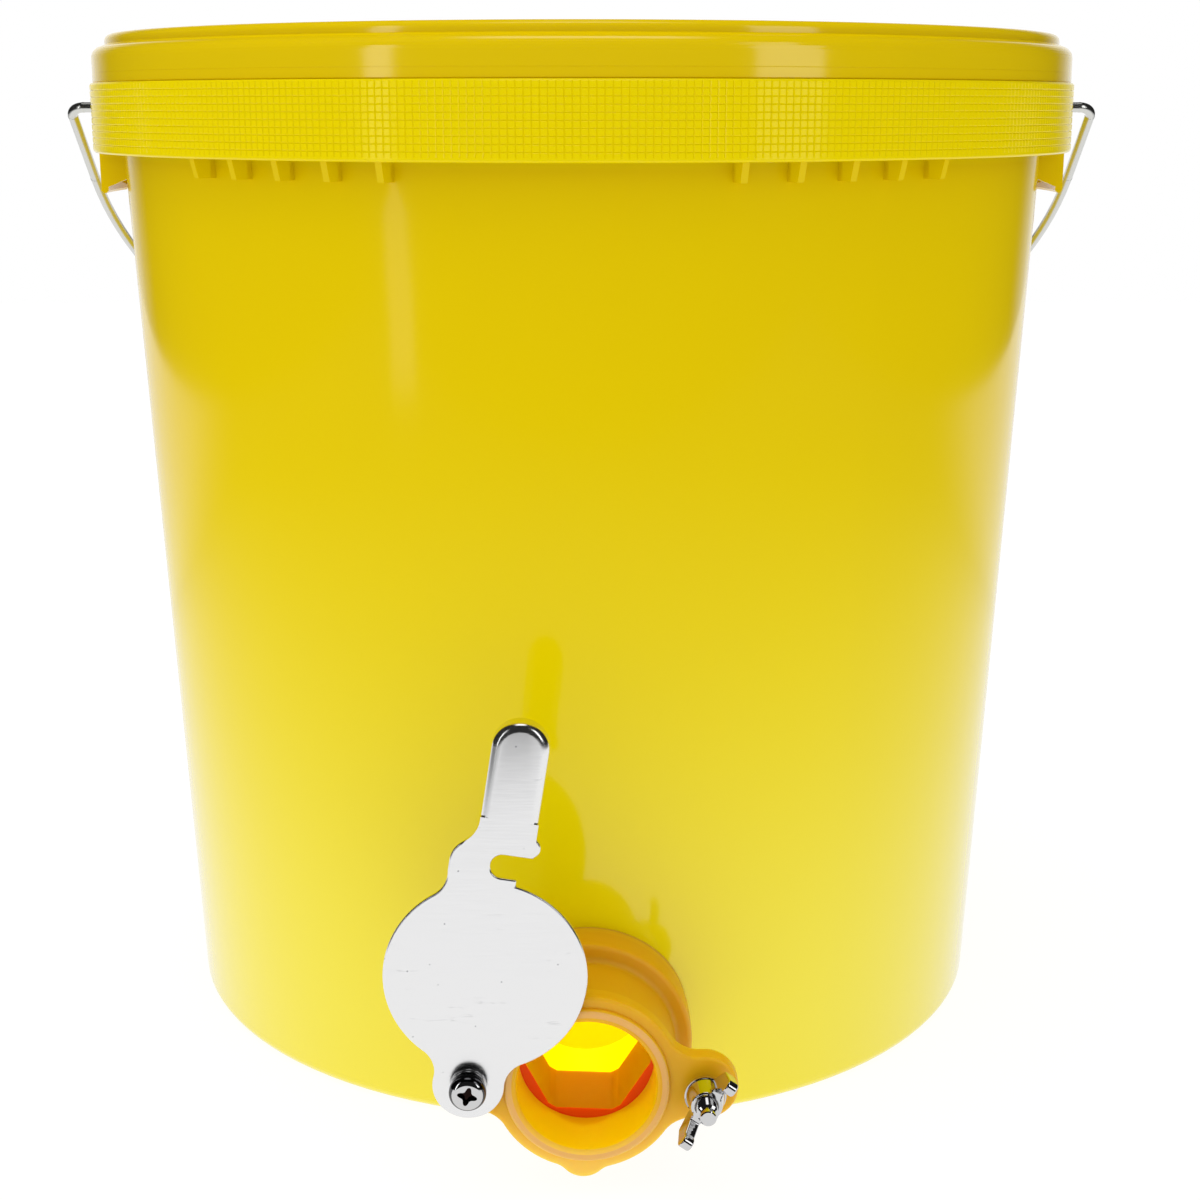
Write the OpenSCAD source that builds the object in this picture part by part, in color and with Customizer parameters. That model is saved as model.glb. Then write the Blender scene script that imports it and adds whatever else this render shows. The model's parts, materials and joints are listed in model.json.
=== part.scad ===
// Honey bucket with a press-on lid, a wire bail and a swing-plate honey gate.
// Millimetres. +Z is up, the origin is the middle of the base, and the gate points along -Y.

/* [Bucket] */
// Outer radius of the wall at the base
base_r = 140.8; // [120:0.2:160]
// Outer radius of the wall at the rim
mouth_r = 154.9; // [150:0.1:170]
// Height from the base to the top of the rim
bucket_h = 322; // [260:1:400]
// Thickness of the side wall
wall = 2.2; // [1.8:0.1:3]
// Thickness of the floor
floor_t = 2.4; // [1.8:0.1:4]
// Height of the foot ring that holds the floor off the table
foot_h = 2.5; // [1:0.1:5]
// Width of the foot ring
foot_w = 5; // [3:0.5:10]
// Radius of the round edge at the foot of the wall
corner_r = 4; // [3:0.5:6]
// How far the snap bead stands out from the rim
rim_bead = 1.9; // [1:0.1:2.5]

/* [Collar band] */
// Distance from the top of the rim down to the top of the band
rim_h = 9; // [8:0.5:12]
// Height of the band
band_h = 21.5; // [16:0.5:30]
// Space between the rim and the inside of the band
band_gap = 5.7; // [5:0.1:8]
// Thickness of the band
band_wall = 1.8; // [1.4:0.1:2.6]
// Number of raised rings round the band
ridge_n = 10; // [6:1:12]
// How far a ring stands out from the band
ridge_out = 0.4; // [0.2:0.05:0.6]
// Thickness of the web that joins the band to the wall
web_t = 2; // [1.5:0.1:3]
// Depth of the trough between the band and the rim
trough = 3; // [2:0.5:4]
// Number of ribs in each of the four groups under the band
rib_n = 5; // [3:1:5]
// Angle from the front or the back to the first rib of a group
rib_first = 17.8; // [12:0.1:24]
// Angle between the ribs of a group
rib_step = 6; // [5:0.1:8]
// Angle by which the groups of ribs are turned away from the gate
rib_turn = 2.3; // [0:0.1:4]
// Thickness of a rib
rib_t = 2; // [1.2:0.1:3]
// How far the ribs reach below the band
rib_hang = 5.5; // [2:0.5:8]
// Width of the ear that carries each end of the bail
ear_w = 30; // [24:1:40]
// How far the ear reaches below the band
ear_hang = 14; // [9:0.5:16]
// Thickness of the ear's front plate
ear_t = 2.4; // [2:0.1:3]

/* [Lid] */
// Thickness of the lid
lid_wall = 2; // [1.6:0.1:2.6]
// Depth of the plug wall inside the rim
plug_depth = 14; // [9:0.5:20]
// Depth of the sunk middle panel below the top of the lid
panel_drop = 9; // [6:0.5:12]
// Height of the seal in the lid's channel
seal_h = 3.7; // [2:0.1:5]
// How far the outer bead stands out from the skirt
lid_bead = 2.6; // [1:0.1:3]
// Height of the outer bead
lid_bead_h = 8.9; // [7:0.1:10]
// Radius of the round shoulder on top of the outer bead
lid_shoulder = 3.6; // [2:0.1:4]
// Depth from the top of the lid to the shoulder of the outer bead
tier_h = 3.7; // [3:0.1:5]
// Radius of the stiffening ring on the panel
panel_ring_r = 105; // [60:1:120]

/* [Bail] */
// Diameter of the bail wire
wire_d = 3.4; // [3:0.1:4]
// Height of the bail's pivot above the foot of the band
pivot_up = 14; // [10:0.5:14]
// Free space between the band and the bail's arm
arm_gap = 10.4; // [5:0.1:14]
// Length of the straight part of each arm
arm_l = 38; // [20:1:50]
// Length of the straight middle that carries the grip
grip_seat = 96; // [80:1:120]
// Radius of the bends at the two ends of the grip
grip_bend_r = 20; // [10:1:30]
// Radius of the bend at each pivot
pin_bend_r = 4.5; // [3:0.1:5]
// Length of the grip
grip_l = 90; // [70:1:94]
// Diameter of the grip
grip_d = 16; // [14:0.5:22]

/* [Gate] */
// Height of the gate's axis above the base
gate_z = 36; // [36:0.1:60]
// Angle by which the gate is turned on its thread, clockwise from the front
gate_turn = 2.5; // [0:0.5:6]
// Distance from the bucket's wall to the sealing lip
gate_l = 41.9; // [40:0.1:60]
// Radius of the outlet
outlet_r = 20; // [17:0.1:20.4]
// Depth of the round outlet
outlet_l = 18.5; // [12:0.5:20]
// Width across the flats of the hexagonal passage
hex_af = 34; // [30:0.5:35]
// Length of the hexagonal passage
hex_l = 22.5; // [16:0.5:24]
// Width of the sealing lip
lip_w = 3.8; // [3:0.1:4]
// Height of the sealing lip over the flange
lip_h = 1.5; // [1:0.1:2]
// Radius of the flange
flange_r = 27.1; // [26.8:0.1:28]
// Thickness of the flange
flange_t = 5.2; // [5:0.1:8]
// Distance from the gate's axis to the middle of each lug
lug_x = 33.6; // [33.2:0.1:36]
// Radius of each lug
lug_r = 9.8; // [9:0.1:11]
// Radius of the hollow between lug and flange
lug_fillet = 10; // [6:0.5:14]
// Radius of the bump under the flange
bump_r = 7.2; // [6:0.1:8]
// How far the bump reaches past the flange
bump_out = 2.6; // [1:0.1:4]
// Radius of the barrel
barrel_r = 26.2; // [25:0.1:26.4]
// Radius of the collar against the wall
collar_r = 31.5; // [31:0.1:33]
// Thickness of the collar
collar_t = 13; // [8:0.1:14]
// Radius of the fillet between the collar and the barrel
fillet_r = 2; // [1:0.5:2.5]
// Radius of the threaded spigot through the wall
spigot_r = 23.9; // [23.2:0.1:24]
// Length of the spigot inside the bucket, from the wall
spigot_l = 18; // [17:0.5:24]
// Thickness of the outer gasket at its thinnest
gasket_t = 0.9; // [0.8:0.1:2]
// Width across the flats of the nut inside
nut_af = 56; // [54:0.5:56]
// Thickness of the nut inside
nut_t = 9; // [6:0.5:10]

/* [Swing plate] */
// Thickness of the plate
plate_t = 1.5; // [1.2:0.1:2]
// Radius of the disc that closes the outlet
disc_r = 28.6; // [26:0.1:28.9]
// Radius of the lobe round the pivot
lobe_r = 10.2; // [8:0.1:11]
// Width of the lever
lever_w = 16; // [12:0.1:18]
// Distance from the pivot to the tip of the lever
lever_l = 108.8; // [104:0.1:120]
// Depth of the turned-back rim of the lever
lever_rim = 4; // [2.5:0.1:6]
// Radius of the bend where the rim turns back
lever_bend = 2.5; // [2.2:0.1:3]
// Width of the notch for the clamp bolt
notch_w = 6.8; // [6.6:0.1:7.4]
// Angle from closed at which the plate stands
open_angle = 83.5; // [70:0.5:120]

/* [Fasteners] */
// Diameter of the pivot screw
screw_d = 5; // [4:0.5:5.5]
// Diameter of the pivot screw's head
screw_head_d = 10.6; // [9:0.1:11]
// Height of the pivot screw's head
screw_head_h = 4; // [3:0.1:5]
// Thickness of the flat washer on the plate
flat_washer_t = 1; // [0.6:0.1:1.6]
// Thickness of the split spring washer
spring_washer_t = 1.6; // [1:0.1:2]
// Width of the split in the spring washer, as an angle
split_angle = 18; // [8:1:30]
// Diameter of the clamp bolt
bolt_d = 6; // [5:0.1:6]
// How far the bolt stands out of its lug
bolt_out = 17.2; // [16:0.1:22]
// Thickness of the washer under the wing nut
wing_washer_t = 1; // [0.8:0.1:1.4]
// Height of the wing nut's hub
hub_h = 6; // [5:0.1:7]
// Diameter of the wing nut's hub at its foot
hub_d = 11.3; // [10:0.1:12]
// Diameter of the hub at its front
hub_front_d = 8.8; // [8.6:0.1:9.6]
// Span of the wings from tip to tip
wing_span = 24.5; // [22:0.5:30]
// Height of the wing tips above the foot of the hub
wing_h = 12.3; // [10:0.1:13]
// Thickness of a wing
wing_t = 3.3; // [2.5:0.1:4]
// Angle of the wings from level, as the nut stands
wing_angle = 54.5; // [0:0.5:90]

/* [Hidden] */
$fn = 96;
eps = 0.01;

// Clearances: a shaft that turns, a part that seats, a face that slides, a part held in a gap
run_gap = 0.08;
seat_gap = 0.05;
face_gap = 0.1;
rest_gap = 0.3;

// Edge breaks: on small parts and on mouldings
fine_edge = 0.6;
edge = 0.8;

// Bucket
taper = (mouth_r - base_r) / bucket_h;
function wall_r(z) = base_r + taper * z;
function bore_r(z) = wall_r(z) - wall;
floor_z = foot_h + floor_t;
bead_r = mouth_r + rim_bead;
bead_top = bucket_h - 4.5;
bead_h = 3.2;

// Collar band
band_in = mouth_r + band_gap;
band_r = band_in + band_wall;
band_top = bucket_h - rim_h;
band_foot = band_top - band_h;
web_top = band_top - trough;
ridge_pitch = (band_h - 1) / ridge_n;
rib_low = band_foot - rib_hang;
ear_low = band_foot - ear_hang;

// Lid
plug_gap = 0.4;
channel_gap = 0.7;
skirt_gap = 0.6;
plug_low = bucket_h - plug_depth;
plug_r = bore_r(plug_low) - plug_gap;
channel_r = mouth_r + channel_gap;
tier_r = channel_r + lid_wall;
channel_top = bucket_h + rest_gap + seal_h;
lid_top = channel_top + lid_wall;
tier_edge = 2;
skirt_in = bead_r + skirt_gap;
skirt_r = skirt_in + lid_wall;
skirt_low = web_top + edge;
step_z = bead_top + rest_gap;
lid_bead_r = skirt_r + lid_bead;
lid_bead_top = lid_top - tier_h;
lid_bead_low = lid_bead_top - lid_bead_h;
panel_top = lid_top - panel_drop;

// Bail
wire_r = wire_d / 2;
pivot_z = band_foot + pivot_up;
arm_x = band_r + ridge_out + arm_gap + wire_r;
pin_in = band_in - 3.6;
arc_r = arm_x;
grip_turn = acos(grip_seat / 2 / (arc_r - grip_bend_r));
bail_reach = arm_l + (arc_r - grip_bend_r) * sin(grip_turn) + grip_bend_r;
grip_r = grip_d / 2;
// The bail hangs back until its grip lies on the wall
hang_a = bail_reach;
hang_b = taper * bail_reach;
hang_c = wall_r(pivot_z) + grip_r + rest_gap;
bail_fall = atan2(hang_b, hang_a) + acos(hang_c / norm([hang_a, hang_b]));

// Gate, measured along its axis from the bucket's axis
gate_wall = wall_r(gate_z);
lip_face = gate_wall + gate_l;
flange_front = lip_face - lip_h;
flange_back = flange_front - flange_t;
collar_back = max(wall_r(gate_z + collar_r), wall_r(gate_z - collar_r)) + gasket_t;
collar_front = collar_back + collar_t;
collar_edge = 1.5;
outlet_end = lip_face - outlet_l;
hex_end = outlet_end - hex_l;
gasket_in = spigot_r + 0.6;
hole_r = spigot_r + 0.5;
inner_bore_r = spigot_r - 3.4;
gasket_out = collar_r - 0.5;
spigot_end = gate_wall - wall - spigot_l;
nut_r = nut_af / 2 / cos(30);
inner_gasket_r = nut_af / 2 - 1.5;
// The nut's face is far enough in to clear the curved wall at its corners
nut_bore = min(bore_r(gate_z - nut_af / 2), bore_r(gate_z + nut_af / 2));
nut_seat = sqrt(pow(nut_bore, 2) - pow(nut_r, 2)) - face_gap;
nut_back = nut_seat - nut_t;
hex_corner_r = hex_af / 2 * 1.11;
pivot_boss_r = 7;

// Plate, measured along the lever from the pivot, with the notch on the + side
plate_back = lip_face + face_gap;
plate_front = plate_back + plate_t;
notch_at = 2 * lug_x;
neck_r = 7.2;
neck_at = notch_at - 3;
neck_l = 2.8;
neck_top = neck_at + neck_l;
neck_side = 7.5;
shoulder_r = 8.2;
shoulder_side = lever_w / 2 + shoulder_r;
shoulder_at = neck_top + sqrt(pow(neck_r + shoulder_r, 2) - pow(shoulder_side - neck_side, 2));
finger_r = 2.9;
finger_at = notch_at + notch_w / 2 + finger_r;
finger_side = lever_w / 2 - 1.3;
lever_r = lever_w / 2;
lever_end = lever_l - lever_r;
rim_from = shoulder_at + 1;

// Fasteners
screw_r = screw_d / 2;
washer_foot = plate_front + face_gap;
spring_foot = washer_foot + flat_washer_t;
head_foot = spring_foot + spring_washer_t;
head_top = head_foot + screw_head_h;
pivot_nut_af = 8;
pivot_nut_t = 4;
bolt_r = bolt_d / 2;
bolt_tip = flange_front + bolt_out;
bolt_head_af = 10;
bolt_head_t = 4;
bolt_head_sunk = 2;
wing_washer_foot = plate_front + 0.35;
hub_foot = wing_washer_foot + wing_washer_t;

// Points on an arc about c, from angle a0 to angle a1
function arc(c, r, a0, a1, n = 6) =
    [for (i = [0 : n]) let (a = a0 + (a1 - a0) * i / n) [c[0] + r * cos(a), c[1] + r * sin(a)]];

// Point that lies ra from a and rb from b, on the left of the line from a to b
function off_two(a, b, ra, rb) =
    let (d = norm(b - a), u = (b - a) / d, k = (d * d + ra * ra - rb * rb) / (2 * d))
    a + u * k + [-u[1], u[0]] * sqrt(ra * ra - k * k);

// The gate's own frame: x to the right and y up as seen from the front, z out along its axis
module gate_frame() {
    translate([0, 0, gate_z])
        rotate([90, 0, 0])
            rotate([0, 0, -gate_turn])
                children();
}

// The plate's frame: x along the lever from the pivot, y towards the open side of the notch
module plate_frame() {
    gate_frame()
        translate([-lug_x, 0, 0])
            rotate([0, 0, open_angle])
                mirror([0, 1, 0])
                    children();
}

// A six-sided prism with flats of the given width at top and bottom
module hexagon(af, h) {
    cylinder(r = af / 2 / cos(30), h = h, $fn = 6);
}

// A flat ring
module ring(r, hole, h) {
    difference() {
        cylinder(r = r, h = h);
        translate([0, 0, -1])
            cylinder(r = hole, h = h + 2);
    }
}

// The cone inside or outside the bucket's wall, as a solid
module wall_cone(inset) {
    cylinder(r1 = base_r - inset, r2 = mouth_r - inset, h = bucket_h, $fn = 360);
}

// Bucket

function ridge_points() = [for (i = [0 : ridge_n - 1], s = [0 : 3])
    let (z = band_top - 0.3 - i * ridge_pitch)
    [band_r + (s == 1 || s == 2 ? ridge_out : 0), z - ridge_pitch * [0.1, 0.25, 0.75, 0.9][s]]];

module bucket_shell() {
    corner = [wall_r(corner_r) - corner_r, corner_r];
    foot_in = corner[0] - foot_w;
    inner_corner = [bore_r(floor_z + corner_r) - corner_r, floor_z + corner_r];
    rotate_extrude()
        polygon(concat(
            [[0, foot_h], [foot_in - foot_h, foot_h], [foot_in, 0]],
            arc(corner, corner_r, -90, 0),
            [[wall_r(web_top - web_t), web_top - web_t], [band_in, web_top - web_t],
                [band_in, band_foot], [band_r, band_foot]],
            [for (i = [len(ridge_points()) - 1 : -1 : 0]) ridge_points()[i]],
            [[band_r - 0.3, band_top], [band_in, band_top], [band_in, web_top],
                [wall_r(web_top), web_top], [wall_r(bead_top - bead_h), bead_top - bead_h],
                [bead_r, bead_top - bead_h + edge], [bead_r, bead_top - edge],
                [wall_r(bead_top), bead_top], [wall_r(bucket_h - fine_edge), bucket_h - fine_edge],
                [mouth_r - fine_edge, bucket_h], [bore_r(bucket_h) + fine_edge, bucket_h],
                [bore_r(bucket_h - fine_edge), bucket_h - fine_edge]],
            arc(inner_corner, corner_r, 0, -90),
            [[0, floor_z]]));
}

// A radial plate between the wall and the band, at the given angle
module rib(angle, low) {
    inner = (wall_r(low) + bore_r(web_top)) / 2;
    rotate([0, 0, angle])
        rotate([90, 0, 0])
            translate([0, 0, -rib_t / 2])
                linear_extrude(rib_t)
                    polygon([[inner, low], [band_in - 1.2, low], [band_in + band_wall / 2, band_foot + 2],
                        [band_in + band_wall / 2, web_top - web_t / 2], [inner, web_top - web_t / 2]]);
}

module ribs() {
    for (middle = [-90, 90], side = [-1, 1], i = [0 : rib_n - 1])
        rib(middle - rib_turn + side * (rib_first + i * rib_step), rib_low);
}

// Both ears: a front plate under the band, and two cheeks back to the wall
module ears() {
    cheek_in = (wall_r(ear_low) + bore_r(web_top)) / 2;
    cheek_y = ear_w / 2 - rib_t;
    intersection() {
        rotate_extrude()
            polygon([[band_in, ear_low + edge], [band_in + edge, ear_low],
                [band_in + ear_t - edge, ear_low], [band_in + ear_t, ear_low + edge],
                [band_in + ear_t, band_foot + edge], [band_in, band_foot + edge]]);
        translate([-band_r * 1.2, -ear_w / 2, 0])
            cube([band_r * 2.4, ear_w, bucket_h]);
    }
    for (side = [0, 180], y = [-ear_w / 2, cheek_y])
        rotate([0, 0, side])
            translate([0, y + rib_t, 0])
                rotate([90, 0, 0])
                    linear_extrude(rib_t)
                        polygon([[cheek_in, ear_low + 5], [band_in + 0.6, ear_low + 1.5],
                            [band_in + 0.6, web_top - web_t / 2], [cheek_in, web_top - web_t / 2]]);
}

module bucket() {
    color("gold")
        difference() {
            union() {
                bucket_shell();
                ribs();
                ears();
            }
            gate_frame()
                translate([0, 0, gate_wall / 2])
                    cylinder(r = hole_r, h = gate_wall);
            for (side = [-1, 1])
                translate([side * band_in - 2 * ear_t, 0, pivot_z])
                    rotate([0, 90, 0])
                        cylinder(r = wire_r + run_gap, h = 4 * ear_t);
        }
}

// Lid

module lid() {
    ring_half = 1.5;
    ring_in = panel_ring_r - ring_half;
    ring_out = panel_ring_r + ring_half;
    ring_top = panel_top + edge;
    panel_edge = 1.5;
    color("gold")
        rotate_extrude()
            polygon(concat(
                [[0, panel_top - lid_wall], [plug_r - lid_wall, panel_top - lid_wall],
                    [plug_r - lid_wall, plug_low + edge], [plug_r - lid_wall + fine_edge, plug_low],
                    [plug_r - fine_edge, plug_low], [plug_r, plug_low + edge],
                    [plug_r, channel_top], [channel_r, channel_top], [channel_r, step_z + edge],
                    [skirt_in, step_z], [skirt_in, skirt_low], [skirt_r - fine_edge, skirt_low],
                    [skirt_r, skirt_low + edge], [skirt_r, lid_bead_low - edge]],
                arc([lid_bead_r - edge, lid_bead_low + edge], edge, -80, 0, 4),
                arc([lid_bead_r - lid_shoulder, lid_bead_top - lid_shoulder], lid_shoulder, 0, 80, 6),
                [[tier_r, lid_bead_top + fine_edge]],
                arc([tier_r - tier_edge, lid_top - tier_edge], tier_edge, 0, 90),
                arc([plug_r - lid_wall + tier_edge, lid_top - tier_edge], tier_edge, 90, 180),
                [[plug_r - lid_wall, panel_top + panel_edge], [plug_r - lid_wall - panel_edge, panel_top],
                    [ring_out + edge, panel_top], [ring_out, ring_top], [ring_in, ring_top],
                    [ring_in - edge, panel_top], [0, panel_top]]));
}

module lid_seal() {
    seal_low = channel_top - seal_h;
    seal_in = plug_r + face_gap;
    seal_out = channel_r - face_gap;
    color("whitesmoke")
        rotate_extrude()
            polygon([[seal_in, seal_low + fine_edge], [seal_in + fine_edge, seal_low],
                [seal_out - fine_edge, seal_low], [seal_out, seal_low + fine_edge],
                [seal_out, channel_top], [seal_in, channel_top]]);
}

// Bail, drawn flat: x across the bucket, y away from the pivot

module wire_bar(from, to) {
    step = to - from;
    translate([from[0], from[1], 0])
        rotate([0, 0, atan2(step[1], step[0])])
            rotate([0, 90, 0])
                cylinder(r = wire_r, h = norm(step), $fn = 32);
}

module wire_bend(centre, r, start, turn) {
    translate([centre[0], centre[1], 0])
        rotate([0, 0, start])
            rotate_extrude(angle = turn)
                translate([r, 0])
                    circle(wire_r, $fn = 32);
}

// A short sleeve that closes the wire where two of its stretches meet, along the given angle
module wire_sleeve(at, angle) {
    half = 0.3;
    translate([at[0], at[1], 0])
        rotate([0, 0, angle])
            translate([-half, 0, 0])
                rotate([0, 90, 0])
                    cylinder(r = wire_r + seat_gap, h = 2 * half, $fn = 32);
}

module half_bail() {
    pin_end = arm_x - pin_bend_r;
    wire_bar([pin_in, 0], [pin_end, 0]);
    wire_sleeve([pin_end, 0], 0);
    wire_bend([pin_end, pin_bend_r], pin_bend_r, -90, 90);
    wire_sleeve([arm_x, pin_bend_r], 90);
    wire_bar([arm_x, pin_bend_r], [arm_x, arm_l]);
    wire_sleeve([arm_x, arm_l], 90);
    wire_bend([0, arm_l], arc_r, 0, grip_turn);
    wire_sleeve([arc_r * cos(grip_turn), arm_l + arc_r * sin(grip_turn)], 90 + grip_turn);
    wire_bend([grip_seat / 2, bail_reach - grip_bend_r], grip_bend_r, grip_turn, 90 - grip_turn);
    wire_sleeve([grip_seat / 2, bail_reach], 0);
}

// Turns what is drawn flat to hang behind the bucket
module bail_frame() {
    translate([0, 0, pivot_z])
        rotate([-bail_fall, 0, 0])
            children();
}

module bail_wire() {
    color("silver")
        bail_frame() {
            half_bail();
            mirror([1, 0, 0])
                half_bail();
            wire_bar([-grip_seat / 2, bail_reach], [grip_seat / 2, bail_reach]);
        }
}

module bail_grip() {
    waist = grip_d / 20;
    collar = grip_l / 18;
    slope = grip_l / 60;
    half = grip_l / 2;
    hole = wire_r + run_gap;
    end = [[hole, half], [grip_r - edge, half], [grip_r, half - edge], [grip_r, half - collar],
        [grip_r - waist, half - collar - slope]];
    color("whitesmoke")
        bail_frame()
            translate([0, bail_reach, 0])
                rotate([0, 90, 0])
                    rotate_extrude()
                        polygon(concat(end, [for (i = [len(end) - 1 : -1 : 0]) [end[i][0], -end[i][1]]]));
}

// Gate body

// A disc with round front and back edges, standing on z = 0
module rounded_disc(r, h, round) {
    rotate_extrude() {
        square([r - round, h]);
        translate([0, round])
            square([r, h - 2 * round]);
        for (z = [round, h - round])
            translate([r - round, z])
                circle(round, $fn = 24);
    }
}

// Fills the corner between a disc at a and a disc at b with a hollow of radius f, on the left;
// the hollow's circle laps a little over both discs, so that their outlines cross
module hollow_web(a, b, ra, rb, f) {
    lap = 0.03;
    post = off_two(a, b, ra + f - lap, rb + f - lap);
    difference() {
        polygon([a, post, b]);
        translate(post)
            circle(f);
    }
}

module flange_outline() {
    bump_at = [0, -(flange_r + bump_out - bump_r)];
    circle(flange_r);
    translate(bump_at)
        circle(bump_r);
    for (side = [0, 1])
        mirror([side, 0]) {
            translate([lug_x, 0])
                circle(lug_r);
            hollow_web([0, 0], [lug_x, 0], flange_r, lug_r, lug_fillet);
            hollow_web([lug_x, 0], [0, 0], lug_r, flange_r, lug_fillet);
            hollow_web([0, 0], bump_at, flange_r, bump_r, bump_r);
        }
}

module gate_turned_part() {
    rotate_extrude()
        polygon(concat(
            [[hex_af / 3, spigot_end], [spigot_r - 1, spigot_end], [spigot_r, spigot_end + 1],
                [spigot_r, collar_back], [collar_r - edge, collar_back], [collar_r, collar_back + edge]],
            arc([collar_r - collar_edge, collar_front - collar_edge], collar_edge, 0, 90, 4),
            arc([barrel_r + fillet_r, collar_front + fillet_r], fillet_r, 270, 180, 5),
            [[barrel_r, flange_back + 1], [hex_af / 3, flange_back + 1]]));
}

module gate_body() {
    color("goldenrod")
        gate_frame()
            difference() {
                union() {
                    gate_turned_part();
                    translate([0, 0, flange_back])
                        linear_extrude(flange_t)
                            flange_outline();
                    translate([0, 0, flange_front - 1])
                        cylinder(r = outlet_r + lip_w, h = lip_h + 1);
                    translate([-lug_x, 0, flange_front - 1])
                        cylinder(r = pivot_boss_r, h = lip_h + 1);
                }
                translate([0, 0, outlet_end])
                    cylinder(r = outlet_r, h = outlet_l + 1);
                intersection() {
                    translate([0, 0, hex_end - 1])
                        hexagon(hex_af, hex_l + 2);
                    translate([0, 0, hex_end - 2])
                        cylinder(r = hex_corner_r, h = hex_l + 4);
                }
                translate([0, 0, spigot_end - 1])
                    cylinder(r = inner_bore_r, h = hex_end - spigot_end + 1);
                translate([-lug_x, 0, flange_back - 1])
                    cylinder(r = screw_r + seat_gap, h = flange_t + lip_h + 2);
                translate([lug_x, 0, flange_back - 1])
                    cylinder(r = bolt_r + seat_gap, h = flange_t + 2);
                translate([lug_x, 0, flange_back - 1])
                    hexagon(bolt_head_af + 2 * seat_gap, bolt_head_sunk + 1);
            }
}

// Outer gasket: flat against the collar, hollowed to the bucket's wall
module gate_outer_gasket() {
    color("goldenrod")
        difference() {
            gate_frame()
                translate([0, 0, gate_wall - 8])
                    ring(gasket_out, gasket_in, collar_back - gate_wall + 8);
            wall_cone(-seat_gap);
        }
}

// Inner gasket: flat against the nut, rounded to the inside of the wall
module gate_inner_gasket() {
    color("goldenrod")
        intersection() {
            gate_frame()
                translate([0, 0, nut_seat])
                    ring(inner_gasket_r, gasket_in, 12);
            wall_cone(wall + seat_gap);
        }
}

module gate_nut() {
    color("goldenrod")
        gate_frame()
            translate([0, 0, nut_back])
                difference() {
                    intersection() {
                        hexagon(nut_af, nut_t);
                        rounded_disc(nut_r - edge, nut_t, collar_edge);
                    }
                    translate([0, 0, -1])
                        cylinder(r = spigot_r + seat_gap, h = nut_t + 2);
                }
}

// Swing plate

module plate_outline() {
    disc = [lug_x, 0];
    neck = [neck_at, -neck_side];
    shoulder = [shoulder_at, -shoulder_side];
    web_r = 8;
    open_from = neck_at - neck_r;
    open_side = notch_w / 2 + 1;
    difference() {
        union() {
            circle(lobe_r);
            translate(disc)
                circle(disc_r);
            hollow_web([0, 0], disc, lobe_r, disc_r, web_r);
            hollow_web(disc, [0, 0], disc_r, lobe_r, web_r);
            for (along = [neck_at, neck_top])
                translate([along, -neck_side])
                    circle(neck_r);
            translate([neck_at, -neck_side - neck_r])
                square([neck_l, neck_side + neck_r]);
            hollow_web(neck, disc, neck_r, disc_r, web_r);
            difference() {
                polygon([[neck_top, -neck_side], shoulder, [shoulder_at, 0], [neck_top, 0]]);
                translate(shoulder)
                    circle(shoulder_r);
            }
            polygon([[disc[0], -neck_side], neck, [neck_at, 0], [notch_at, lever_r],
                [disc[0], disc_r / 2]]);
            translate([neck_at, -lever_r])
                square([lever_end - neck_at, lever_w]);
            translate([lever_end, 0])
                circle(lever_r);
            translate([finger_at, finger_side])
                circle(finger_r);
        }
        translate([notch_at, 0])
            circle(notch_w / 2);
        translate([notch_at - notch_w / 2, 0])
            square([notch_w, disc_r]);
        difference() {
            translate([open_from, open_side])
                square([notch_at + notch_w / 2 - open_from, disc_r]);
            translate(disc)
                circle(disc_r);
        }
        circle(screw_r + run_gap);
    }
}

// Half of the lever's turned-back rim in section: a tab on the flat, the bend and the strip
module rim_section() {
    tab = 0.5;
    bend_c = [lever_r - lever_bend, plate_t - lever_bend];
    translate([bend_c[0] - tab, 0])
        square([tab + eps, plate_t]);
    intersection() {
        translate(bend_c)
            difference() {
                circle(lever_bend);
                circle(lever_bend - plate_t);
            }
        translate(bend_c)
            square(lever_bend + 1);
    }
    translate([lever_r - plate_t, -lever_rim])
        square([plate_t, lever_rim + bend_c[1] + eps]);
}

// The flat of the plate, drawn in where the lever's rim bends back
module plate_flat() {
    flat_r = lever_r - lever_bend;
    difference() {
        plate_outline();
        difference() {
            translate([rim_from, -lever_w])
                square([lever_l, 2 * lever_w]);
            translate([rim_from - 1, -flat_r])
                square([lever_end - rim_from + 1, 2 * flat_r]);
            translate([lever_end, 0])
                circle(flat_r);
        }
    }
}

module gate_plate() {
    color("gainsboro")
        plate_frame()
            translate([0, 0, plate_back]) {
                linear_extrude(plate_t)
                    plate_flat();
                for (side = [0, 1])
                    mirror([0, side, 0])
                        translate([rim_from, 0, 0])
                            rotate([90, 0, 90])
                                linear_extrude(lever_end - rim_from)
                                    rim_section();
                translate([lever_end, 0, 0])
                    rotate([0, 0, -90])
                        rotate_extrude(angle = 180)
                            rim_section();
            }
}

// Pivot

module at_pivot(z) {
    gate_frame()
        translate([-lug_x, 0, z])
            children();
}

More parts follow.
